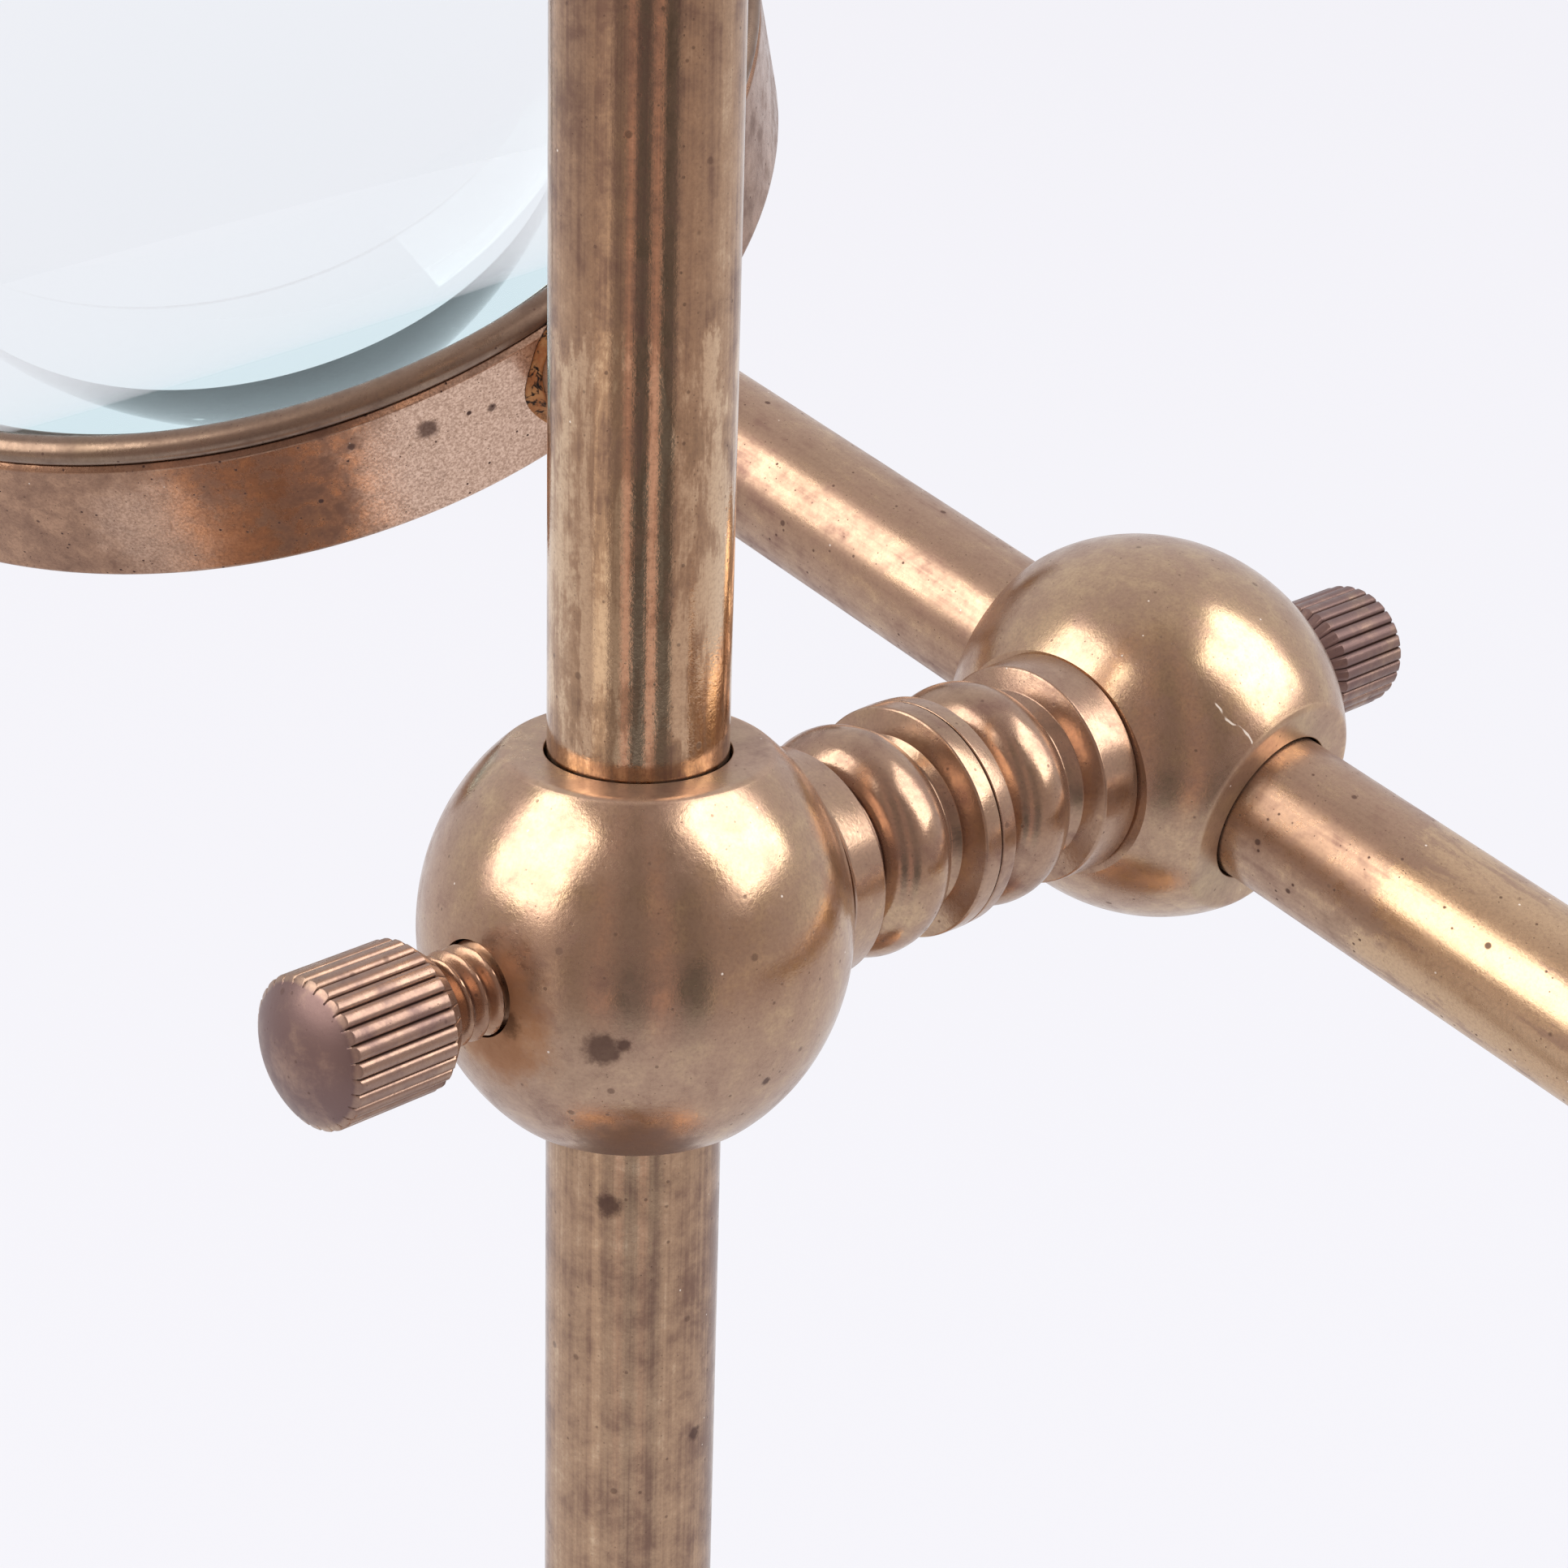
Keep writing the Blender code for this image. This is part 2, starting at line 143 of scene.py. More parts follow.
def eased(points, steps=5):
    """The outline with each corner that has a third number, its fillet radius, turned into an arc."""
    made = []
    for i, point in enumerate(points):
        corner = Vector(point[:2])
        if len(point) < 3 or not 0 < i < len(points) - 1:
            made.append((corner.x, corner.y))
            continue
        back = Vector(points[i - 1][:2]) - corner
        ahead = Vector(points[i + 1][:2]) - corner
        half = back.angle(ahead) / 2
        reach = min(point[2] / math.tan(half), 0.48 * back.length, 0.48 * ahead.length)
        start = corner + back.normalized() * reach
        end = corner + ahead.normalized() * reach
        for step in range(steps + 1):
            t = step / steps
            p = start * (1 - t) ** 2 + corner * 2 * t * (1 - t) + end * t ** 2
            made.append((p.x, p.y))
    return made


def skin(name, rings, place, loop=False):
    """A closed surface through rings of points in mm. A ring of one point closes an end."""
    shape = bmesh.new()
    rows = [[shape.verts.new(Vector(p) * MM) for p in ring] for ring in rings]
    pairs = list(zip(rows, rows[1:])) + ([(rows[-1], rows[0])] if loop else [])
    for a, b in pairs:
        count = max(len(a), len(b))
        for i in range(count):
            j = (i + 1) % count
            corners = [a[i % len(a)], a[j % len(a)], b[j % len(b)], b[i % len(b)]]
            shape.faces.new(list(dict.fromkeys(corners)))
    bmesh.ops.recalc_face_normals(shape, faces=shape.faces)
    mesh = bpy.data.meshes.new(name)
    shape.to_mesh(mesh)
    shape.free()
    mesh.shade_smooth()
    mesh.set_sharp_from_angle(angle=SHARP)
    obj = bpy.data.objects.new(name, mesh)
    bpy.context.scene.collection.objects.link(obj)
    obj.matrix_world = place
    return obj


def circle(radius, height, steps):
    if radius == 0:
        return [(0, 0, height)]
    angles = [math.tau * i / steps for i in range(steps)]
    return [(radius * math.cos(a), radius * math.sin(a), height) for a in angles]


def lathe(name, outline, place, steps=FINE, loop=False):
    """A turned piece about its own Z."""
    obj = skin(name, [circle(r, z, steps) for r, z in outline], place, loop)
    even_normals(obj)
    return obj


def even_normals(obj):
    """Flats stay flat beside their fillets, because larger faces weigh more in the shading."""
    weighted = obj.modifiers.new("even", "WEIGHTED_NORMAL")
    weighted.mode = "FACE_AREA"
    weighted.keep_sharp = True


def cylinder_tool(radius, low, high, place, steps=96):
    """A closed cylinder to cut with, along the place's Z."""
    return skin("tool", [circle(0, low, 1), circle(radius, low, steps), circle(radius, high, steps),
                         circle(0, high, 1)], place)


def cut_by(obj, tools):
    """Cuts the tools' shapes out of obj for good, and removes them."""
    for tool in tools:
        boolean = obj.modifiers.new("cut", "BOOLEAN")
        boolean.operation = "DIFFERENCE"
        boolean.solver = "EXACT"
        boolean.object = tool
    bpy.context.view_layer.update()
    graph = bpy.context.evaluated_depsgraph_get()
    whole = bpy.data.meshes.new_from_object(obj.evaluated_get(graph))
    obj.modifiers.clear()
    obj.data = whole
    for tool in tools:
        bpy.data.objects.remove(tool, do_unlink=True)
    whole.shade_smooth()
    whole.set_sharp_from_angle(angle=SHARP)


# ---------------------------------------------------------------- materials

class Nodes:
    """Shader nodes under construction, in a material or a world."""

    def __init__(self, tree, output):
        self.tree = tree
        self.tree.nodes.clear()
        self.output = self.add(output)

    def add(self, kind, sockets=None, **settings):
        node = self.tree.nodes.new("ShaderNode" + kind)
        for key, value in settings.items():
            setattr(node, key, value)
        for key, value in (sockets or {}).items():
            if isinstance(value, bpy.types.NodeSocket):
                self.tree.links.new(value, node.inputs[key])
            else:
                node.inputs[key].default_value = value
        return node

    def math(self, operation, *values):
        node = self.add("Math", dict(enumerate(values)), operation=operation)
        return node.outputs[0]

    def vector(self, operation, *values, scale=None):
        sockets = dict(enumerate(values))
        if scale is not None:
            sockets["Scale"] = scale
        node = self.add("VectorMath", sockets, operation=operation)
        return node.outputs["Value" if operation in ("LENGTH", "DISTANCE", "DOT_PRODUCT") else "Vector"]

    def mirrored(self):
        """1 for rays that come from a reflection, and 0 for those seen directly or through glass."""
        path = self.add("LightPath").outputs
        direct = self.math("SUBTRACT", 1.0, path["Is Transmission Ray"])
        return self.math("MULTIPLY", path["Is Glossy Ray"], direct)

    def guided(self):
        """1 for rays that leave a piece of glass after turning inside it, as at the edge of a lens."""
        path = self.add("LightPath").outputs
        deep = self.math("GREATER_THAN", path["Ray Depth"], GUIDED_DEPTH)
        return self.math("MULTIPLY", path["Is Transmission Ray"], deep)

    def noise(self, vector, scale, detail=3.0, roughness=0.55, distortion=0.0):
        sockets = {"Vector": vector, "Scale": scale, "Detail": detail, "Roughness": roughness,
                   "Distortion": distortion}
        return self.add("TexNoise", sockets).outputs["Fac"]

    def ramp(self, value, low, high, to_low=0.0, to_high=1.0):
        """Smoothly from to_low at low to to_high at high."""
        sockets = {"Value": value, "From Min": low, "From Max": high, "To Min": to_low, "To Max": to_high}
        return self.add("MapRange", sockets, interpolation_type="SMOOTHSTEP").outputs["Result"]

    def mix(self, factor, a, b, blend="MIX"):
        a, b = ((*c, 1.0) if isinstance(c, tuple) else c for c in (a, b))
        node = self.add("MixRGB", {"Fac": factor, "Color1": a, "Color2": b}, blend_type=blend)
        return node.outputs["Color"]


class Finish(Nodes):
    """A material, with coordinates in mm in the piece's own frame."""

    def __init__(self, name):
        self.material = bpy.data.materials.new(name)
        self.material.use_nodes = True
        super().__init__(self.material.node_tree, "OutputMaterial")
        self.mm = self.vector("SCALE", self.add("TexCoord").outputs["Object"], scale=1 / MM)

    def stretched(self, factors, shift=(0, 0, 0)):
        """Coordinates in mm, multiplied by a factor on each axis."""
        return self.vector("MULTIPLY_ADD", self.mm, factors, shift)

    def dots(self, scale, size, keep, shift=(0, 0, 0)):
        """Scattered round specks: scale in cells per mm, size as a share of a cell, keep the share kept."""
        cells = self.add("TexVoronoi", {"Vector": self.vector("ADD", self.mm, shift), "Scale": scale})
        kept = self.math("LESS_THAN", self.add("SeparateColor", {0: cells.outputs["Color"]}).outputs[0], keep)
        near = self.ramp(cells.outputs["Distance"], size, size * 0.55)
        return self.math("MULTIPLY", kept, near)

    def spot(self, centre, radius, ragged=0.5):
        """A ragged patch round a point in mm: for stains, for painted shade and for painted light."""
        rough_edge = self.noise(self.mm, 1.9 / radius, 6.0, 0.68)
        edge = self.math("MULTIPLY_ADD", rough_edge, radius * ragged, -radius * ragged / 2)
        distance = self.math("ADD", self.vector("DISTANCE", self.mm, centre), edge)
        return self.ramp(distance, radius, radius * 0.45)

    def shade(self, colour, roughness, metallic, height=None, bump=0.2, **sockets):
        """Ends the material in one Principled shader."""
        values = {"Base Color": (*colour, 1.0) if isinstance(colour, tuple) else colour,
                  "Roughness": roughness, "Metallic": metallic, **sockets}
        if height is not None:
            bumped = self.add("Bump", {"Height": height, "Strength": bump, "Distance": 0.0001})
            values["Normal"] = bumped.outputs["Normal"]
        shader = self.add("BsdfPrincipled", values)
        self.tree.links.new(shader.outputs[0], self.output.inputs["Surface"])
        return self.material


GOLD = (0.67, 0.48, 0.3)
TAN = (0.5, 0.335, 0.235)
BROWN = (0.27, 0.155, 0.12)
OLIVE = (0.36, 0.28, 0.15)
UMBER = (0.1, 0.055, 0.045)
# Orange-brown, round the thumbscrew holes and on the threads where they enter the balls.
ORANGE_BROWN = (0.42, 0.2, 0.09)
# Lighter brass colour for the band's patches: partly worn brass, partly painted light.
BARE_AND_PAINTED_LIGHT = (0.92, 0.66, 0.51)
DUST = (0.85, 0.78, 0.7)


def aged_brass(name, light=GOLD, middle=TAN, dark=BROWN, shade=0.5, patchy=1.0, streaks=0.0,
               turning=0.3, rough=0.2, metal=0.95, specks=0.5, stains=(), bare_and_painted_light=(), worn=None,
               scratch=None, flats=None):
    """Satin brass under an uneven brown patina.

    light, middle and dark are its colours as the patina gets thicker. shade moves the patina from light to
    dark, and patchy is how much it varies. streaks and turning are the strength of lines along and round
    the piece's axis. rough and metal are the roughness and metallic values of clean brass, and specks is
    the strength of small dark spots.

    The rest are in mm, in the piece's own frame. stains are (centre, radius, colour); one of those on the
    post's ball is painted shade, a dark brown patch in place of a dark reflection. The patches with less
    patina are (centre, radius, share): worn brass, made lighter also as painted light where the band catches
    a softbox. worn is a (low, high) stretch of Z that a clamp has rubbed clean. scratch is a pair of points.
    flats is the height of a dull flat end, with how much darker it is.
    """
    f = Finish(name)
    height = f.add("SeparateXYZ", {0: f.mm}).outputs["Z"]
    broad = f.noise(f.mm, 0.06, 4.0, 0.6, 0.6)
    mottle = f.noise(f.vector("ADD", f.mm, (31, 7, 13)), 0.5, 6.0, 0.7, 0.2)
    grain = f.noise(f.mm, 4.5, 3.0, 0.7)
    rings = f.noise(f.stretched((0.15, 0.15, 6.0)), 1.0, 3.0, 0.7)
    varied = f.math("ADD", f.math("MULTIPLY", broad, 1.7), f.math("MULTIPLY", mottle, 1.5))
    patina = f.math("MULTIPLY_ADD", f.math("SUBTRACT", varied, 1.6), patchy, shade)
    if streaks:
        lines = f.noise(f.stretched((1.0, 1.0, 0.012)), 1.15, 4.0, 0.6)
        fine_lines = f.noise(f.stretched((1.0, 1.0, 0.02), (5, 9, 0)), 4.5, 2.0, 0.6)
        patina = f.math("MULTIPLY_ADD", f.math("SUBTRACT", lines, 0.5), 2.2 * streaks, patina)
        patina = f.math("MULTIPLY_ADD", f.math("SUBTRACT", fine_lines, 0.5), 1.1 * streaks, patina)
    patina = f.math("MULTIPLY_ADD", f.math("SUBTRACT", rings, 0.5), 0.5 * turning, patina)
    if worn:
        ragged = f.noise(f.stretched((1.0, 1.0, 0.4)), 0.5, 6.0, 0.72)
        edge = f.math("MULTIPLY_ADD", f.math("SUBTRACT", ragged, 0.5), 12.0, height)
        rubbed = f.math("MULTIPLY", f.ramp(edge, worn[0] - 2, worn[0] + 1),
                        f.ramp(edge, worn[1] + 1, worn[1] - 1))
        patches = f.noise(f.stretched((1.0, 1.0, 0.3), (8, 2, 4)), 0.33, 6.0, 0.7, 0.4)
        rubbed = f.math("MULTIPLY", rubbed, f.ramp(patches, 0.4, 0.56, 0.15, 1.0))
        patina = f.math("MULTIPLY_ADD", rubbed, -0.7, patina)
    # Patches with less patina and a lighter colour: worn brass, and also painted light where the right
    # softbox catches the band.
    if bare_and_painted_light:
        bare_and_painted_light_mask = 0.0
        for centre, radius, share in bare_and_painted_light:
            bare_and_painted_light_mask = f.math("MAXIMUM", bare_and_painted_light_mask, f.math("MULTIPLY", f.spot(centre, radius, 1.2), share))
        patina = f.math("MULTIPLY_ADD", bare_and_painted_light_mask, -0.5, patina)
    dull = f.ramp(patina, 0.2, 1.1)
    if flats:
        ends = f.ramp(f.math("ABSOLUTE", height), flats[0] - 0.35, flats[0] - 0.1)
        patina = f.math("MULTIPLY_ADD", ends, flats[1], patina)
        dull = f.math("MAXIMUM", dull, ends)
    colour = f.mix(f.ramp(patina, 0.0, 0.55), light, middle)
    hue = f.noise(f.vector("ADD", f.mm, (17, 41, 3)), 0.09, 3.0, 0.55, 0.5)
    colour = f.mix(f.math("MULTIPLY", f.ramp(hue, 0.48, 0.72, 0.0, 0.4), dull), colour, OLIVE)
    colour = f.mix(f.ramp(patina, 0.45, 1.15), colour, dark)
    if bare_and_painted_light:
        colour = f.mix(f.math("MULTIPLY", bare_and_painted_light_mask, f.ramp(grain, 0.3, 0.62, 0.95, 0.45)), colour, BARE_AND_PAINTED_LIGHT)
    colour = f.mix(f.ramp(grain, 0.38, 0.75, 0.0, 0.3 * patchy), colour, dark)
    hollow = f.ramp(f.add("NewGeometry").outputs["Pointiness"], 0.497, 0.47)
    colour = f.mix(f.math("MULTIPLY", hollow, 0.75), colour, UMBER)
    tarnish = f.math("MULTIPLY", f.dots(1.5, 0.2, 0.12), specks)
    tarnish = f.math("MAXIMUM", tarnish, f.math("MULTIPLY", f.dots(3.2, 0.22, 0.12, (2, 6, 1)), 0.8 * specks))
    tarnish = f.math("MAXIMUM", tarnish, f.math("MULTIPLY", f.dots(0.45, 0.12, 0.2, (4, 2, 8)), specks))
    colour = f.mix(tarnish, colour, UMBER)
    # Stains; one on the post's ball is painted shade in place of a dark reflection.
    for centre, radius, tint in stains:
        stain_and_shade = f.math("MULTIPLY", f.spot(centre, radius, 1.1), 0.8)
        colour = f.mix(stain_and_shade, colour, tint)
        tarnish = f.math("MAXIMUM", tarnish, stain_and_shade)
    roughness = f.math("MULTIPLY_ADD", dull, 0.13, rough - 0.03)
    roughness = f.math("MULTIPLY_ADD", f.math("SUBTRACT", mottle, 0.5), 0.25 * patchy, roughness)
    roughness = f.math("MULTIPLY_ADD", tarnish, 0.3, roughness)
    bumps = f.math("MULTIPLY_ADD", grain, 0.6, f.math("MULTIPLY", mottle, 0.7))
    bumps = f.math("MULTIPLY_ADD", rings, 0.4 * turning, bumps)
    if streaks:
        bumps = f.math("MULTIPLY_ADD", fine_lines, 0.5 * streaks, bumps)
    bumps = f.math("MULTIPLY_ADD", tarnish, -0.6, bumps)
    dust = f.dots(0.8, 0.07, 0.12, (9, 3, 1))
    metallic = f.math("MULTIPLY_ADD", dull, -0.13, metal)
    if scratch:
        start, end = (Vector(p) for p in scratch)
        wander = f.add("TexNoise", {"Vector": f.mm, "Scale": 0.5}).outputs["Color"]
        wander = f.vector("SCALE", f.vector("SUBTRACT", wander, (0.5, 0.5, 0.5)), scale=1.4)
        along = end - start
        offset = f.vector("SUBTRACT", f.vector("ADD", f.mm, wander), tuple(start))
        share = f.vector("DOT_PRODUCT", offset, tuple(along / along.length_squared))
        share = f.add("Clamp", {0: share}).outputs[0]
        nearest = f.vector("SCALE", tuple(along), scale=share)
        dust = f.math("MAXIMUM", dust, f.ramp(f.vector("DISTANCE", offset, nearest), 0.1, 0.04))
    metallic = f.math("MULTIPLY_ADD", dust, -0.6, metallic)
    colour = f.mix(f.math("MULTIPLY", dust, 0.7), colour, DUST)
    return f.shade(colour, roughness, metallic, bumps, 0.13)


def steel(name="steel_oiled"):
    f = Finish(name)
    rings = f.noise(f.stretched((0.2, 0.2, 5.0)), 1.0, 3.0)
    blotch = f.noise(f.mm, 0.3, 4.0)
    colour = f.mix(f.ramp(blotch, 0.35, 0.7), (0.42, 0.41, 0.4), (0.27, 0.25, 0.23))
    roughness = f.math("MULTIPLY_ADD", blotch, 0.2, 0.22)
    return f.shade(colour, roughness, 1.0, rings, 0.1)


def cast_iron(name="iron_cast"):
    f = Finish(name)
    lumps = f.noise(f.mm, 1.3, 5.0, 0.7)
    rust = f.noise(f.mm, 0.12, 4.0)
    colour = f.mix(f.ramp(rust, 0.5, 0.72), (0.05, 0.048, 0.047), (0.12, 0.055, 0.03))
    return f.shade(colour, f.math("MULTIPLY_ADD", lumps, 0.25, 0.5), 0.6, lumps, 0.9)


def felt(name="felt_green"):
    f = Finish(name)
    fuzz = f.noise(f.mm, 5.0, 6.0, 0.75, 1.0)
    cloud = f.noise(f.mm, 0.15, 3.0)
    fibres = f.noise(f.stretched((1.0, 0.35, 1.0)), 9.0, 3.0, 0.7, 2.0)
    colour = f.mix(fuzz, (0.012, 0.035, 0.02), (0.04, 0.095, 0.055))
    colour = f.mix(f.ramp(cloud, 0.4, 0.7, 0.0, 0.3), colour, (0.06, 0.1, 0.06))
    height = f.math("ADD", fuzz, fibres)
    return f.shade(colour, 0.95, 0.0, height, 1.0, **{"Sheen Weight": 0.4, "Sheen Roughness": 0.5})


def braze(name="braze_flux"):
    """Filler and scorched flux where the arm meets the band."""
    f = Finish(name)
    lumps = f.noise(f.mm, 0.9, 5.0, 0.65, 0.6)
    char = f.noise(f.vector("ADD", f.mm, (3, 8, 5)), 1.1, 5.0, 0.7, 1.0)
    colour = f.mix(f.ramp(lumps, 0.3, 0.7), (0.36, 0.13, 0.045), (0.5, 0.25, 0.1))
    colour = f.mix(f.ramp(char, 0.52, 0.6), colour, (0.02, 0.012, 0.008))
    roughness = f.math("MULTIPLY_ADD", char, 0.5, 0.25)
    return f.shade(colour, roughness, 0.7, lumps, 1.0)


def polished_glass(name="glass_polished"):
    """Clear crown glass, faintly green through its depth, which lets the lamps shine through."""
    f = Finish(name)
    sockets = {"Base Color": (1, 1, 1, 1), "Roughness": 0.0, "IOR": 1.53, "Transmission Weight": 1.0}
    glass = f.add("BsdfPrincipled", sockets)
    clear = f.add("BsdfTransparent", {"Color": (0.93, 0.96, 0.96, 1)})
    lamp = f.add("LightPath").outputs["Is Shadow Ray"]
    either = f.add("MixShader", {0: lamp, 1: glass.outputs[0], 2: clear.outputs[0]})
    f.tree.links.new(either.outputs[0], f.output.inputs["Surface"])
    depth = f.add("VolumeAbsorption", {"Color": (0.55, 0.86, 0.88, 1), "Density": 7.0})
    f.tree.links.new(depth.outputs[0], f.output.inputs["Volume"])
    return f.material


def blackened(name="brass_blackened"):
    """The seat of the lens: near black with pale specks, and seen through the lens's edge as its dark band.
    """
    f = Finish(name)
    grime = f.noise(f.mm, 0.8, 5.0, 0.7)
    colour = f.mix(f.ramp(grime, 0.35, 0.7), (0.018, 0.032, 0.038), (0.045, 0.065, 0.07))
    dust = f.math("MAXIMUM", f.dots(0.5, 0.09, 0.3), f.dots(1.1, 0.1, 0.16))
    colour = f.mix(dust, colour, (0.8, 0.85, 0.85))
    return f.shade(colour, 0.65, 0.0, grime, 0.3, **{"Specular IOR Level": 0.2})


def ground_glass(name="glass_ground"):
    """The lens's edge, left grey from grinding."""
    f = Finish(name)
    grit = f.noise(f.mm, 8.0, 3.0)
    colour = f.mix(grit, (0.03, 0.055, 0.065), (0.06, 0.09, 0.1))
    return f.shade(colour, 0.55, 0.0, grit, 0.5)


# ---------------------------------------------------------------- pieces

def show(obj, body, node, slot, *finishes):
    """Gives a fine piece its finish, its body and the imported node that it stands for."""
    obj.data.materials.clear()
    for finish in finishes:
        obj.data.materials.append(finish)
    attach(obj, body)
    if node:
        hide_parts(node)
    return obj


def finial_outline(seat, radius, stem):
    """A ball on a short turned stem, with a blind hole for the rod's peg."""
    centre = seat + 4.5 + radius
    return eased([
        *arc((0, centre), (radius, radius), 90, -60, 40),
        (stem * 0.6, seat + 4.5, 0.2),
        (stem * 0.6, seat + 3.7, 0.3),
        (stem * 0.97, seat + 3.2, 0.2),
        (stem, seat + 2.6, 0.15),
        (stem, seat + 0.25, 0.12),
        (stem - 0.25, seat, 0.05),
        (2.5, seat),
        (2.5, seat + 8.5),
        (0, seat + 8.5),
    ])


def make_base():
    _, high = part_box("base")
    radius = high.x / MM
    top = high.z / MM
    hole = ROD_RADIUS + 0.12
    outline = eased([
        (hole, top - 0.1),
        (ROD_RADIUS + 0.3, top, 0.1),
        (11.0, top, 0.5),
        (12.0, top - 1.0, 0.5),
        (12.0, top - 3.4, 0.4),
        (10.4, top - 4.6, 0.3),
        *arc((30.0, top - 4.0), (19.6, 12.8), 195, 269, 28),
        (30.0, 17.2, 0.3),
        (30.0, 15.2, 0.3),
        *arc((44.0, 22.0), (14.0, 8.2), 232, 275, 16),
        (54.0, 13.2, 0.3),
        (54.0, 12.6, 0.2),
        *arc((radius - 3.0, 6.5), (3.0, 4.3), 86, -66, 24),
        (radius - 3.0, 2.0, 0.2),
        (52.0, 2.0),
        (52.0, 10.5),
        (3.8, 10.5),
        (3.8, 14.0),
        (hole, 14.0),
    ])
    base = lathe("base_fine", outline, STAND, loop=True)
    stains = (((-41, 20, 13), 3.0, UMBER), ((30, -34, 13), 1.6, UMBER), ((22, 40, 13), 2.2, UMBER))
    show(base, "stand", "base", "satin_brass",
         aged_brass("brass_base", shade=0.5, turning=0.6, rough=0.28, stains=stains))
    _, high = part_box("felt_pad")
    rim = high.x / MM
    thick = high.z / MM
    pad = [(0, thick), *[(rim * i / 12, thick) for i in range(1, 12)],
           *arc((rim - 0.6, thick / 2), (0.6, thick / 2), 90, -90, 8),
           *[(rim * i / 12, 0) for i in range(11, 0, -1)], (0, 0)]
    show(lathe("felt_pad_fine", pad, STAND), "stand", "felt_pad", "felt", felt())


def make_post():
    _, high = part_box("post")
    top = high.z / MM - PEG_LENGTH
    outline = eased([
        (0, top + PEG_LENGTH),
        (PEG_RADIUS, top + PEG_LENGTH, 0.3),
        (PEG_RADIUS, top),
        (ROD_RADIUS - 0.3, top, 0.1),
        (ROD_RADIUS, top - 0.3, 0.1),
        *[(ROD_RADIUS, z) for z in np.linspace(top - 2, 16, 24)],
        (ROD_RADIUS, 14.3),
        (3.5, 14.3),
        (3.5, 3.4),
        (0, 3.4),
    ])
    height = POST_BALL.z / MM
    stains = (((2.5, -4.3, height - 15.1), 0.95, UMBER), ((5.0, 0.4, height - 31), 0.6, UMBER))
    finish = aged_brass("brass_post", light=(0.84, 0.63, 0.43), middle=(0.54, 0.36, 0.235),
                        dark=(0.25, 0.15, 0.11), shade=0.74, streaks=0.5, turning=0.1, rough=0.1,
                        metal=1.0, worn=(height + 11, height + 34), stains=stains)
    show(lathe("post_fine", outline, STAND, steps=ROUND_ROD), "stand", "post", "satin_brass", finish)
    finial = lathe("post_finial_fine", finial_outline(top + FINIAL_GAP, 7.5, 6.4), STAND)
    show(finial, "stand", "post_finial", "satin_brass", aged_brass("brass_post_finial", turning=0.5))


def ball_normals(obj):
    """Exact normals on the rounded part of a ball, so that the holes leave no mark in its reflections."""
    mesh = obj.data
    across, along = (r * MM for r in BALL_RADII)
    exact = [Vector((0, 0, 0))] * len(mesh.loops)
    for face in mesh.polygons:
        for i in face.loop_indices:
            p = mesh.vertices[mesh.loops[i].vertex_index].co
            on_ball = (p.x ** 2 + p.y ** 2) / across ** 2 + p.z ** 2 / along ** 2
            normal = Vector((p.x / across ** 2, p.y / across ** 2, p.z / along ** 2)).normalized()
            if abs(on_ball - 1) < 0.002 and normal.dot(face.normal) > 0.97:
                exact[i] = normal
    mesh.normals_split_custom_set(exact)


def make_ball(prefix, finish):
    """One clamp ball: bored along Z, spot-faced for the connector, tapped for the thumbscrew."""
    place = PLACES[prefix + "_clamp"]
    flat_angle = math.degrees(math.asin(BALL_FLAT / BALL_RADII[1]))
    outline = eased([
        (BORE_RADIUS, 8.0),
        (BORE_RADIUS, BALL_FLAT, 0.1),
        (BALL_RADII[0] * math.cos(math.radians(flat_angle)), BALL_FLAT, 1.4),
        *arc((0, 0), BALL_RADII, flat_angle - 3, 3 - flat_angle, 96),
        (BALL_RADII[0] * math.cos(math.radians(flat_angle)), -BALL_FLAT, 1.4),
        (6.7, -BALL_FLAT, 0.08),
        (6.7, -8.7),
        (6.35, -8.7),
        (6.35, 8.0),
    ], 7)
    ball = skin(prefix + "_ball_fine", [circle(r, z, FINE) for r, z in outline], place, loop=True)
    neck, screw = PLACES[prefix + "_neck"], PLACES[prefix + "_screw"]
    cut_by(ball, [
        cylinder_tool(30, SEAT, 30, neck),
        cylinder_tool(5.5, SPIGOT - 0.3, 30, neck),
        cylinder_tool(2.75, ROD_RADIUS, 30, screw),
    ])
    ball_normals(ball)
    show(ball, prefix + "_clamp", prefix + "_ball", "satin_brass", finish)


def make_neck(prefix, mouth, foot, root, finish):
    """Half of the connector: flange, cove, bead, cove and collar. root is how the collar meets the ball."""
    cove, bead = 5.05, 17.6
    outline = mouth + [
        (7.25, SPLIT, 0.1),
        (7.2, 21.75, 0.22),
        (5.6, 21.35, 0.1),
        (cove, 20.85, 0.4),
        (cove, 20.25),
        *arc((4.6, bead), (2.48, 2.65), 79, -79, 30),
        (cove, 14.95),
        (cove, 14.3, 0.4),
        (5.6, 13.5, 0.15),
        (7.02, 13.05, 0.22),
        *root,
    ] + foot
    loop = mouth[0][0] > 0
    neck = lathe(prefix + "_neck_fine", eased(outline), PLACES[prefix + "_neck"], loop=loop)
    show(neck, prefix + "_clamp", prefix + "_neck", "satin_brass", finish)


